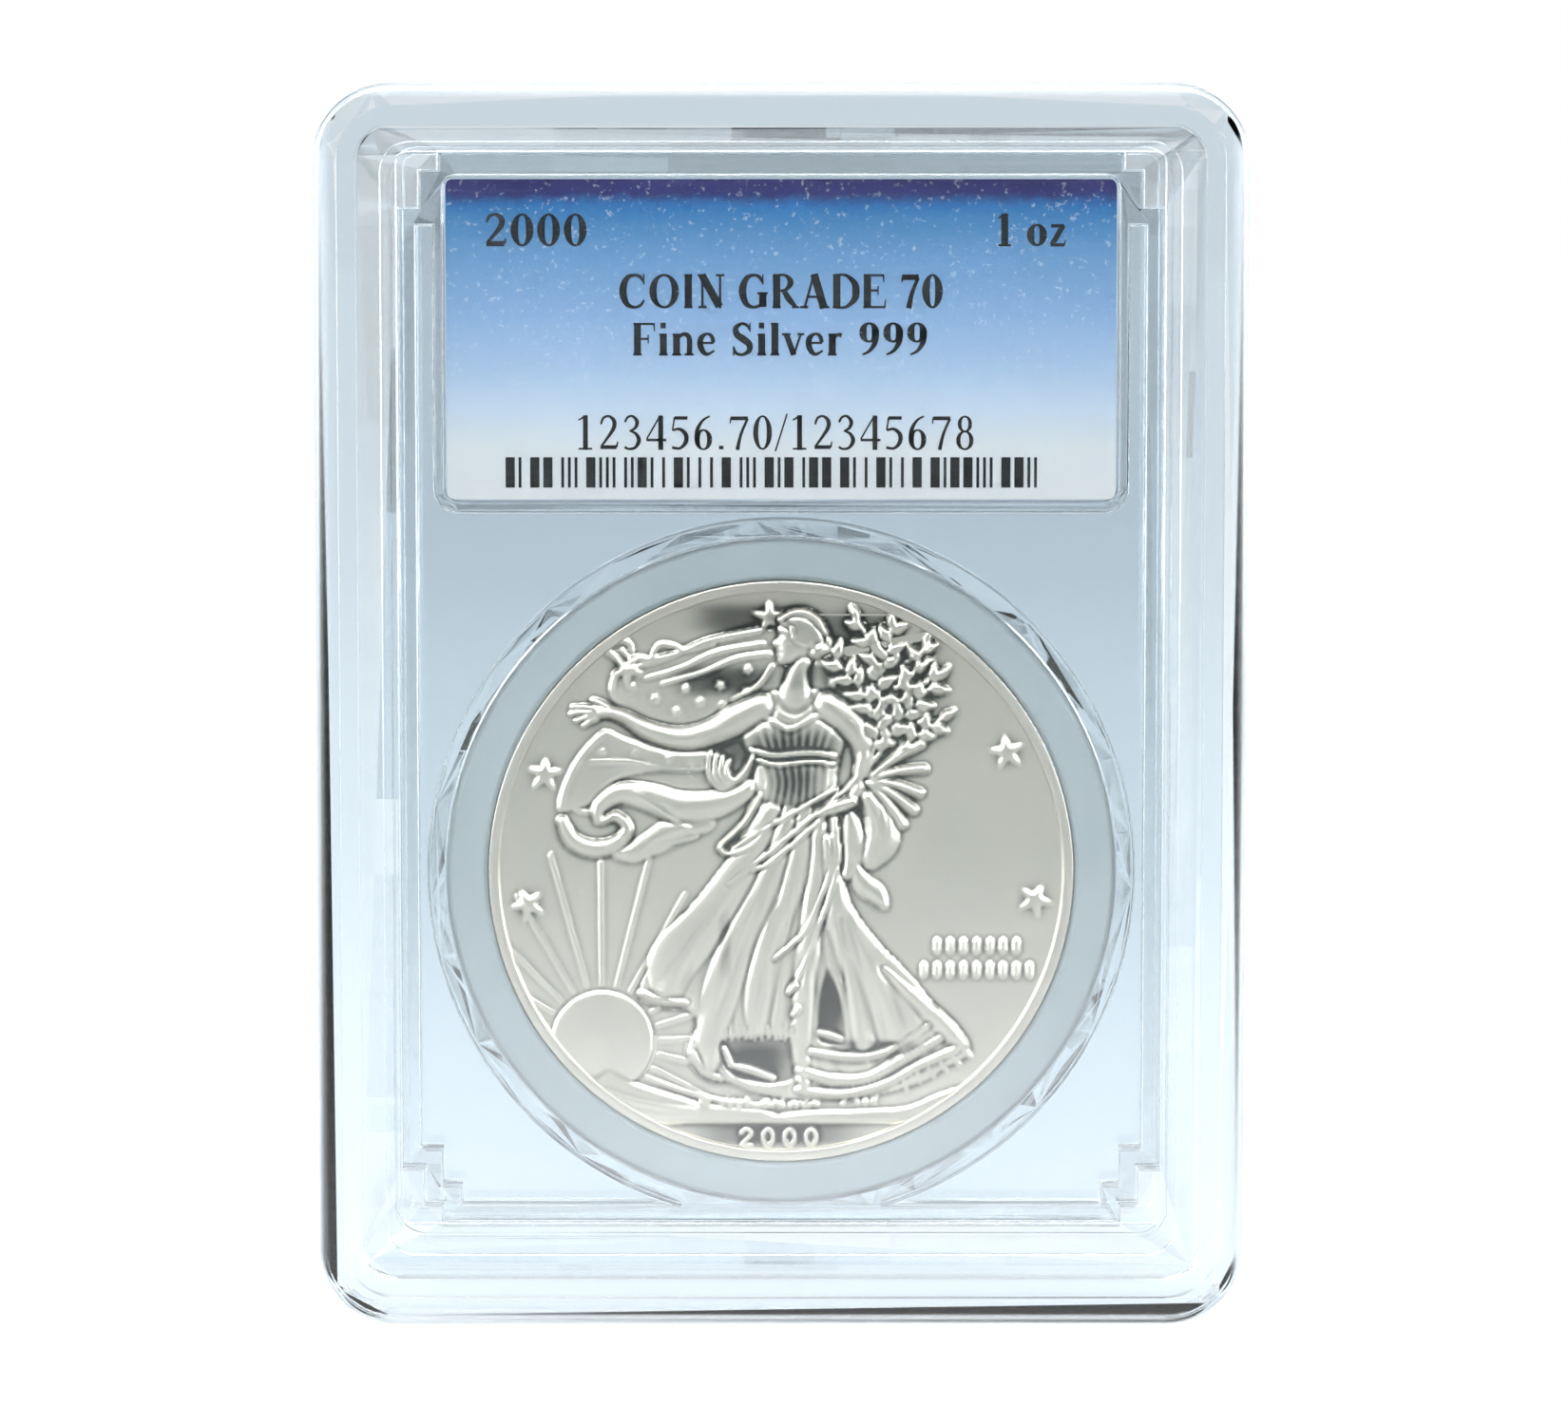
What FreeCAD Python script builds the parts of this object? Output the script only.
import FreeCAD, Part
import math
import os
import Sketcher
from FreeCAD import Placement, Rotation, Vector

# A graded coin slab: a one-ounce silver coin, its holding ring and a printed paper card lie between the
# two halves of a clear inner core, and the core is sealed between two clear outer shells whose edges
# are welded together.
#
# The slab stands upright. +X is to the right of the front face, +Z is up, towards the card, and the
# front face looks along -Y. The origin is the middle of the bottom edge. Every sketch lies on its
# body's own XZ plane, whose normal is -Y, so a "level" below is a height above the middle plane of
# the case towards the front, and a negative level is behind that plane.

doc = FreeCAD.newDocument("CoinSlab")
sheet = doc.addObject("Spreadsheet::Sheet", "Sizes")


class Size:
    """A length in mm that knows its value and the sheet expression that gives it."""

    def __init__(self, value, text=None):
        self.value = float(value)
        self.text = text or f"{float(value):.6g}"

    def _with(self, sign, other, result):
        return Size(result, f"({self.text} {sign} {other.text})")

    def __add__(self, other):
        return self._with("+", other, self.value + other.value)

    def __sub__(self, other):
        return self._with("-", other, self.value - other.value)

    def __neg__(self):
        return Size(-self.value, f"(-1 * {self.text})")

    def __mul__(self, factor):
        return Size(self.value * factor, f"({self.text} * {factor})")


def size(row, name, value, meaning):
    """Write one driving dimension to the sheet and return it as a Size."""
    sheet.set(f"A{row}", name)
    sheet.set(f"B{row}", str(value))
    sheet.set(f"C{row}", meaning)
    sheet.setAlias(f"B{row}", name)
    return Size(value, f"Sizes.{name}")


DRIVING = {
    "case_width": (64.2, "outer width of the case"),
    "case_height": (86.0, "outer height of the case"),
    "case_depth": (8.0, "outer thickness of the case"),
    "case_corner": (5.3, "corner radius of the case seen from the front"),
    "case_edge": (0.5, "rounding of the outer edges of the front and back"),
    "seam_edge": (0.15, "rounding of the edges that meet at the weld seam"),
    "rim_side": (4.7, "width of the raised stacking rim at the sides"),
    "rim_top": (4.0, "width of the raised rim at the top"),
    "rim_bottom": (5.0, "width of the raised rim at the bottom"),
    "rim_corner": (2.0, "inner corner radius of the raised rim"),
    "rim_step": (0.3, "drop from the rim to the border of the window"),
    "land_gap": (0.3, "side play between one case's back land and the next case's rim"),
    "land_height": (0.25, "height of the back land above the ledge round it"),
    "window_side": (5.7, "distance of the window from the sides"),
    "window_top": (4.6, "distance of the window from the top"),
    "window_bottom": (7.0, "distance of the window from the bottom"),
    "window_corner": (0.8, "corner radius of the window"),
    "window_step": (0.3, "drop from the border to the window"),
    "edge_round": (0.12, "rounding of the small moulded steps"),
    "core_side": (5.7, "distance of the core from the case's sides"),
    "core_top": (4.6, "distance of the core from the case's top"),
    "core_bottom": (6.8, "distance of the core from the case's bottom"),
    "core_half": (2.2, "thickness of one half of the core"),
    "core_gap": (0.1, "play between the core and the shells"),
    "core_wall": (1.2, "thickness of the wall round the core"),
    "core_plate": (0.6, "thickness of the core's face plate"),
    "notch_inner_width": (1.3, "width of the small notch at each core corner"),
    "notch_inner_height": (1.35, "height of the small notch"),
    "notch_outer_width": (1.55, "width of the tall notch at each core corner"),
    "notch_outer_height": (2.55, "height of the tall notch"),
    "weld_inset": (1.5, "distance of the weld groove from the case's outline"),
    "weld_width": (1.4, "width of the weld groove"),
    "weld_depth": (0.9, "depth of the weld groove"),
    "weld_gap": (0.1, "play between the weld tongue and its groove"),
    "gate_radius": (1.2, "radius of the scallop where the moulding gate was cut off"),
    "gate_depth": (0.25, "depth of the gate scallop"),
    "gate_length": (2.4, "length of the gate scallop along the thickness"),
    "coin_diameter": (40.6, "diameter of the coin"),
    "coin_depth": (2.98, "thickness of the coin over its rims"),
    "coin_rim": (0.9, "width of the coin's raised rim"),
    "coin_recess": (0.42, "depth of the coin's fields under its rims"),
    "coin_height": (31.5, "height of the coin's centre above the bottom edge"),
    "coin_bevel": (0.15, "bevel of the coin's outer edges"),
    "running_gap": (0.05, "radial play of the coin in its ring"),
    "ring_outer": (23.2, "outer radius of the holding ring"),
    "ring_half": (1.5, "half the thickness of the holding ring"),
    "ring_bevel": (0.3, "bevel of the ring's edges"),
    "ring_groove": (0.35, "depth of the groove in the ring's outer face"),
    "boss_inner": (23.3, "inner radius of the core's round wall"),
    "boss_outer": (24.5, "outer radius of the core's round wall"),
    "card_width": (46.1, "width of the paper card"),
    "card_height": (22.0, "height of the paper card"),
    "card_middle": (68.45, "height of the card's middle above the bottom edge"),
    "card_depth": (0.35, "thickness of the card"),
    "card_corner": (0.5, "corner radius of the card"),
    "card_play": (0.3, "play round the card in its pocket"),
    "pocket_wall": (0.6, "thickness of the wall round the card's pocket"),
    "pocket_corner": (1.0, "corner radius of the card's pocket"),
    "rest_inset": (0.4, "distance of the card's rest from the card's edge"),
    "rest_wall": (0.7, "thickness of the card's rest"),
    "face_gap": (0.05, "play before and behind the card"),
    "seal_width": (17.0, "width of the foil seal"),
    "seal_height": (11.0, "height of the foil seal"),
    "seal_corner": (1.5, "corner radius of the foil seal"),
    "seal_depth": (0.06, "thickness of the foil seal"),
}
S = {}
for number, (key, (amount, note)) in enumerate(DRIVING.items(), start=1):
    S[key] = size(number, key, amount, note)
doc.recompute()

ZERO = Size(0)
OVERLAP = Size(0.1)        # how far an added wall runs into the plate that it stands on
half_width = S["case_width"] * 0.5
half_depth = S["case_depth"] * 0.5
core_floor = S["core_half"] - S["core_plate"]       # level of the core plate's inner face
cavity = S["core_half"] + S["core_gap"]             # depth of the room that each shell gives the core
card_face = core_floor - S["face_gap"]              # level of the card's printed face
card_back = card_face - S["card_depth"]


def bind(thing, prop, length):
    """Give a property its value and tie it to the sheet."""
    thing.setExpression(prop, length.text)


def new_body(label):
    body = doc.addObject("PartDesign::Body", label)
    body.Label = label
    body.Placement = Placement(Vector(0, 0, 0), Rotation())
    return body


def sketch_at(body, name, level):
    """A sketch parallel to the body's XZ plane, at a level towards the front."""
    plane = next(p for p in body.Origin.OriginFeatures if p.Role == "XZ_Plane")
    sketch = body.newObject("Sketcher::SketchObject", name)
    sketch.AttachmentSupport = (plane, "")
    sketch.MapMode = "FlatFace"
    bind(sketch, "AttachmentOffset.Base.z", level)
    return sketch


def pin_point(sketch, geometry, end, x, z):
    """Fix one point of a sketch at sheet-driven coordinates."""
    for kind, length in (("DistanceX", x), ("DistanceY", z)):
        index = sketch.addConstraint(Sketcher.Constraint(kind, -1, 1, geometry, end, length.value))
        bind(sketch, f"Constraints[{index}]", length)


def draw_circle(sketch, x, z, radius):
    centre = Vector(x.value, z.value, 0)
    circle = sketch.addGeometry(Part.Circle(centre, Vector(0, 0, 1), radius.value))
    pin_point(sketch, circle, 3, x, z)
    index = sketch.addConstraint(Sketcher.Constraint("Radius", circle, radius.value))
    bind(sketch, f"Constraints[{index}]", radius)


def draw_outline(sketch, corners):
    """A closed outline of straight sides through the corners, in order."""
    count = len(corners)
    lines = []
    for i, (x, z) in enumerate(corners):
        next_x, next_z = corners[(i + 1) % count]
        start = Vector(x.value, z.value, 0)
        end = Vector(next_x.value, next_z.value, 0)
        lines.append(sketch.addGeometry(Part.LineSegment(start, end)))
        pin_point(sketch, lines[-1], 1, x, z)
    for i, line in enumerate(lines):
        sketch.addConstraint(Sketcher.Constraint("Coincident", lines[i - 1], 2, line, 1))


def draw_rounded(sketch, box, radius):
    """A rectangle (left, bottom, right, top) with round corners, drawn anticlockwise."""
    left, bottom, right, top = box
    sides = [
        ((left + radius, bottom), (right - radius, bottom)),
        ((right, bottom + radius), (right, top - radius)),
        ((right - radius, top), (left + radius, top)),
        ((left, top - radius), (left, bottom + radius)),
    ]
    centres = [
        (right - radius, bottom + radius),
        (right - radius, top - radius),
        (left + radius, top - radius),
        (left + radius, bottom + radius),
    ]
    lines = []
    for start, end in sides:
        points = [Vector(x.value, z.value, 0) for x, z in (start, end)]
        lines.append(sketch.addGeometry(Part.LineSegment(*points)))
        pin_point(sketch, lines[-1], 1, *start)
        pin_point(sketch, lines[-1], 2, *end)
    for i, (x, z) in enumerate(centres):
        circle = Part.Circle(Vector(x.value, z.value, 0), Vector(0, 0, 1), radius.value)
        turn = (i - 1) * math.pi / 2
        arc = sketch.addGeometry(Part.ArcOfCircle(circle, turn, turn + math.pi / 2))
        sketch.addConstraint(Sketcher.Constraint("Coincident", lines[i], 2, arc, 1))
        sketch.addConstraint(Sketcher.Constraint("Coincident", arc, 2, lines[(i + 1) % 4], 1))
        index = sketch.addConstraint(Sketcher.Constraint("Radius", arc, radius.value))
        bind(sketch, f"Constraints[{index}]", radius)


def volume(body):
    return body.Shape.Volume if body.Tip else 0.0


def add_feature(body, kind, sketch, length, to_front):
    """Pad or pocket a sketch by a length towards the front or the back, and check that it did something."""
    before = volume(body)
    feature = body.newObject(f"PartDesign::{kind}", f"{sketch.Name}{kind}")
    feature.Profile = sketch
    bind(feature, "Length", length)
    pocket = kind == "Pocket"
    feature.Reversed = to_front if pocket else not to_front
    doc.recompute()
    change = volume(body) - before
    if change * (-1 if pocket else 1) <= 0:
        raise ValueError(f"{feature.Label} changed the volume of {body.Label} by {change:.3f} mm3")
    return feature


def pad(body, sketch, length, to_front=True):
    return add_feature(body, "Pad", sketch, length, to_front)


def pocket(body, sketch, length, to_front=True):
    return add_feature(body, "Pocket", sketch, length, to_front)


def on_level(shape, level):
    """Names of the shape's edges that lie wholly at one level."""
    names = []
    for number, edge in enumerate(shape.Edges, start=1):
        box = edge.BoundBox
        flat = box.YMax - box.YMin < 1e-4
        if flat and abs(box.YMin + level.value) < 1e-4:
            names.append((f"Edge{number}", edge))
    return names


def dress(body, kind, prop, length, names):
    """Round or bevel the named edges of the body's last feature."""
    base = body.Tip
    feature = body.newObject(f"PartDesign::{kind}", f"{body.Label}_{kind}")
    feature.Base = (base, names)
    bind(feature, prop, length)
    doc.recompute()
    return feature


def round_edges(body, level, radius, chosen=lambda edge: True):
    names = [name for name, edge in on_level(body.Shape, level) if chosen(edge)]
    return dress(body, "Fillet", "Radius", radius, names)


def bevel_edges(body, level, width, chosen=lambda edge: True):
    names = [name for name, edge in on_level(body.Shape, level) if chosen(edge)]
    return dress(body, "Chamfer", "Size", width, names)


def inset_box(side, bottom, top):
    """Left, bottom, right and top of a rectangle inset from the case's outline."""
    return -half_width + side, bottom, half_width - side, S["case_height"] - top


def grown(box, amount):
    left, bottom, right, top = box
    return left - amount, bottom - amount, right + amount, top + amount


def stepped_outline(grow):
    """The core's outline, two steps cut from each corner, moved outwards by a distance."""
    left, bottom, right, top = grown(inset_box(S["core_side"], S["core_bottom"], S["core_top"]), grow)
    low_x = S["notch_inner_width"] + S["notch_outer_width"]
    high_x = S["notch_outer_width"]
    low_z = S["notch_inner_height"]
    high_z = S["notch_inner_height"] + S["notch_outer_height"]
    steps = [(low_x, ZERO), (low_x, low_z), (high_x, low_z), (high_x, high_z), (ZERO, high_z)]
    corners = [(left + x, bottom + z) for x, z in reversed(steps)]
    corners += [(right - x, bottom + z) for x, z in steps]
    corners += [(right - x, top - z) for x, z in reversed(steps)]
    corners += [(left + x, top - z) for x, z in steps]
    return corners


CASE_BOX = inset_box(ZERO, ZERO, ZERO)
RIM_BOX = inset_box(S["rim_side"], S["rim_bottom"], S["rim_top"])
WINDOW_BOX = inset_box(S["window_side"], S["window_bottom"], S["window_top"])
CARD_BOX = (
    S["card_width"] * -0.5,
    S["card_middle"] - S["card_height"] * 0.5,
    S["card_width"] * 0.5,
    S["card_middle"] + S["card_height"] * 0.5,
)


def well_inside(edge):
    """True for an edge that stays clear of the case's rounded outer edges."""
    box = edge.BoundBox
    margin = S["case_edge"].value * 2
    sideways = max(abs(box.XMin), abs(box.XMax)) < half_width.value - margin
    return sideways and box.ZMin > margin and box.ZMax < S["case_height"].value - margin


def band_sketch(body, name, level, outer, outer_radius, inner, inner_radius):
    """A sketch of the band between two rounded rectangles."""
    sketch = sketch_at(body, name, level)
    draw_rounded(sketch, outer, outer_radius)
    draw_rounded(sketch, inner, inner_radius)
    return sketch


def rounded_sketch(body, name, level, box, radius):
    sketch = sketch_at(body, name, level)
    draw_rounded(sketch, box, radius)
    return sketch


def shell_blank(label, side):
    """The outer block of one case half, its outer and seam edges rounded; side is 1 in front, -1 behind."""
    body = new_body(label)
    outline = rounded_sketch(body, f"{label}_outline", ZERO, CASE_BOX, S["case_corner"])
    pad(body, outline, half_depth, to_front=side > 0)
    round_edges(body, half_depth * side, S["case_edge"])
    round_edges(body, ZERO, S["seam_edge"])
    return body


def shell_cavity(body, side):
    """The stepped room for the core, open at the seam."""
    sketch = sketch_at(body, f"{body.Label}_cavity", ZERO)
    draw_outline(sketch, stepped_outline(S["core_gap"]))
    pocket(body, sketch, cavity, to_front=side > 0)


def gate_scallop(body, side):
    """The shallow scallop in the top edge where the moulding gate was cut off."""
    sketch = sketch_at(body, f"{body.Label}_gate", ZERO)
    height = S["case_height"] + S["gate_radius"] - S["gate_depth"]
    draw_circle(sketch, ZERO, height, S["gate_radius"])
    pocket(body, sketch, S["gate_length"], to_front=side > 0)


def weld_band(play):
    """Outer and inner rectangles and radii of the weld joint, drawn in by a play on both flanks."""
    outer = grown(CASE_BOX, -(S["weld_inset"] + play))
    outer_radius = S["case_corner"] - S["weld_inset"] - play
    inner = grown(CASE_BOX, -(S["weld_inset"] + S["weld_width"] - play))
    inner_radius = S["case_corner"] - S["weld_inset"] - S["weld_width"] + play
    return outer, outer_radius, inner, inner_radius


def make_front_shell():
    """Front half of the case: raised stacking rim, stepped window and the groove of the weld."""
    body = shell_blank("front_shell", 1)
    border = rounded_sketch(body, "rim_border", half_depth, RIM_BOX, S["rim_corner"])
    pocket(body, border, S["rim_step"], to_front=False)
    border_level = half_depth - S["rim_step"]
    window = rounded_sketch(body, "front_window", border_level, WINDOW_BOX, S["window_corner"])
    pocket(body, window, S["window_step"], to_front=False)
    round_edges(body, half_depth, S["edge_round"], well_inside)
    round_edges(body, border_level - S["window_step"], S["edge_round"], well_inside)
    shell_cavity(body, 1)
    groove = band_sketch(body, "weld_groove", ZERO, *weld_band(ZERO))
    pocket(body, groove, S["weld_depth"], to_front=True)
    gate_scallop(body, 1)
    return body


def make_rear_shell():
    """Back half of the case: raised land that nests in the next case's rim, and the weld's tongue."""
    body = shell_blank("rear_shell", -1)
    land_box = grown(RIM_BOX, -S["land_gap"])
    beyond = grown(CASE_BOX, S["case_edge"])
    ledge = band_sketch(body, "back_ledge", -half_depth, beyond, S["case_corner"], land_box, S["rim_corner"])
    pocket(body, ledge, S["land_height"], to_front=True)
    drop = S["rim_step"] + S["window_step"]
    window = rounded_sketch(body, "back_window", -half_depth, grown(WINDOW_BOX, -S["window_step"]),
                            S["window_corner"])
    pocket(body, window, drop, to_front=True)
    round_edges(body, -half_depth, S["edge_round"], well_inside)
    shell_cavity(body, -1)
    tongue = band_sketch(body, "weld_tongue", ZERO, *weld_band(S["weld_gap"]))
    pad(body, tongue, S["weld_depth"] - S["weld_gap"], to_front=True)
    gate_scallop(body, -1)
    return body


def core_half(label, side):
    """One half of the inner core: stepped plate and wall, round coin wall and card pocket."""
    body = new_body(label)
    outline = sketch_at(body, f"{label}_outline", ZERO)
    draw_outline(outline, stepped_outline(ZERO))
    pad(body, outline, S["core_half"], to_front=side > 0)
    hollow = sketch_at(body, f"{label}_hollow", ZERO)
    draw_outline(hollow, stepped_outline(-S["core_wall"]))
    pocket(body, hollow, core_floor, to_front=side > 0)
    walls = core_floor + OVERLAP
    boss = sketch_at(body, f"{label}_boss", ZERO)
    draw_circle(boss, ZERO, S["coin_height"], S["boss_outer"])
    draw_circle(boss, ZERO, S["coin_height"], S["boss_inner"])
    pad(body, boss, walls, to_front=side > 0)
    pocket_box = grown(CARD_BOX, S["card_play"])
    frame = band_sketch(body, f"{label}_frame", ZERO,
                        grown(pocket_box, S["pocket_wall"]), S["pocket_corner"] + S["pocket_wall"],
                        pocket_box, S["pocket_corner"])
    pad(body, frame, walls, to_front=side > 0)
    room = rounded_sketch(body, f"{label}_room", ZERO, pocket_box, S["pocket_corner"])
    pocket(body, room, core_floor, to_front=side > 0)
    return body


def make_core_front():
    return core_half("core_front", 1)


def make_core_rear():
    """Back half of the core, with the raised rest that presses the card forwards."""
    body = core_half("core_rear", -1)
    rest_box = grown(CARD_BOX, -S["rest_inset"])
    foot = -(core_floor + OVERLAP)
    rest = band_sketch(body, "card_rest", foot, rest_box, S["pocket_corner"],
                       grown(rest_box, -S["rest_wall"]), S["card_corner"])
    pad(body, rest, card_back - S["face_gap"] - foot, to_front=True)
    return body


def make_gasket_ring():
    """The ring that holds the coin by its edge, with a shallow groove round its outer face."""
    body = new_body("gasket_ring")
    inner = S["coin_diameter"] * 0.5 + S["running_gap"]
    band = sketch_at(body, "ring_band", -S["ring_half"])
    draw_circle(band, ZERO, S["coin_height"], S["ring_outer"])
    draw_circle(band, ZERO, S["coin_height"], inner)
    pad(body, band, S["ring_half"] * 2, to_front=True)
    groove = sketch_at(body, "ring_groove_band", S["ring_half"] * -0.3)
    draw_circle(groove, ZERO, S["coin_height"], S["ring_outer"] + S["ring_groove"])
    draw_circle(groove, ZERO, S["coin_height"], S["ring_outer"] - S["ring_groove"])
    pocket(body, groove, S["ring_half"] * 0.6, to_front=True)
    for face in (1, -1):
        bevel_edges(body, S["ring_half"] * face, S["ring_bevel"])
    return body


def make_coin():
    """The coin: a disc with a raised rim round a sunken field on both faces."""
    body = new_body("coin")
    half_coin = S["coin_depth"] * 0.5
    disc = sketch_at(body, "coin_disc", -half_coin)
    draw_circle(disc, ZERO, S["coin_height"], S["coin_diameter"] * 0.5)
    pad(body, disc, S["coin_depth"], to_front=True)
    for face in (1, -1):
        bevel_edges(body, half_coin * face, S["coin_bevel"])
    for name, face in (("obverse", 1), ("reverse", -1)):
        field = sketch_at(body, f"{name}_field", half_coin * face)
        draw_circle(field, ZERO, S["coin_height"], S["coin_diameter"] * 0.5 - S["coin_rim"])
        pocket(body, field, S["coin_recess"], to_front=face < 0)
    return body


def make_label_card():
    """The paper card behind the upper part of the window."""
    body = new_body("label_card")
    card = rounded_sketch(body, "card_outline", card_back, CARD_BOX, S["card_corner"])
    pad(body, card, S["card_depth"], to_front=True)
    return body


def make_seal_foil():
    """The foil seal stuck to the back of the card."""
    body = new_body("seal_foil")
    middle = S["card_middle"]
    box = (S["seal_width"] * -0.5, middle - S["seal_height"] * 0.5,
           S["seal_width"] * 0.5, middle + S["seal_height"] * 0.5)
    seal = rounded_sketch(body, "seal_outline", card_back, box, S["seal_corner"])
    pad(body, seal, S["seal_depth"], to_front=False)
    return body


PIECES = [
    make_front_shell(),
    make_rear_shell(),
    make_core_front(),
    make_core_rear(),
    make_gasket_ring(),
    make_coin(),
    make_label_card(),
    make_seal_foil(),
]
doc.recompute()

failed = [thing.Label for thing in doc.Objects if "Invalid" in thing.State or "Error" in thing.State]
if failed:
    raise RuntimeError(f"objects that failed to recompute: {failed}")
for piece in PIECES:
    shape = piece.Shape
    if shape.isNull() or not shape.isValid() or len(shape.Solids) != 1:
        raise RuntimeError(f"{piece.Label} isn't one valid solid")

os.makedirs("parts", exist_ok=True)
for piece in PIECES:
    piece.Shape.exportStep(f"parts/{piece.Label}.step")
    box = piece.Shape.BoundBox
    print(f"{piece.Label}: {box.XLength:.2f} x {box.YLength:.2f} x {box.ZLength:.2f} mm, "
          f"{piece.Shape.Volume:.0f} mm3")
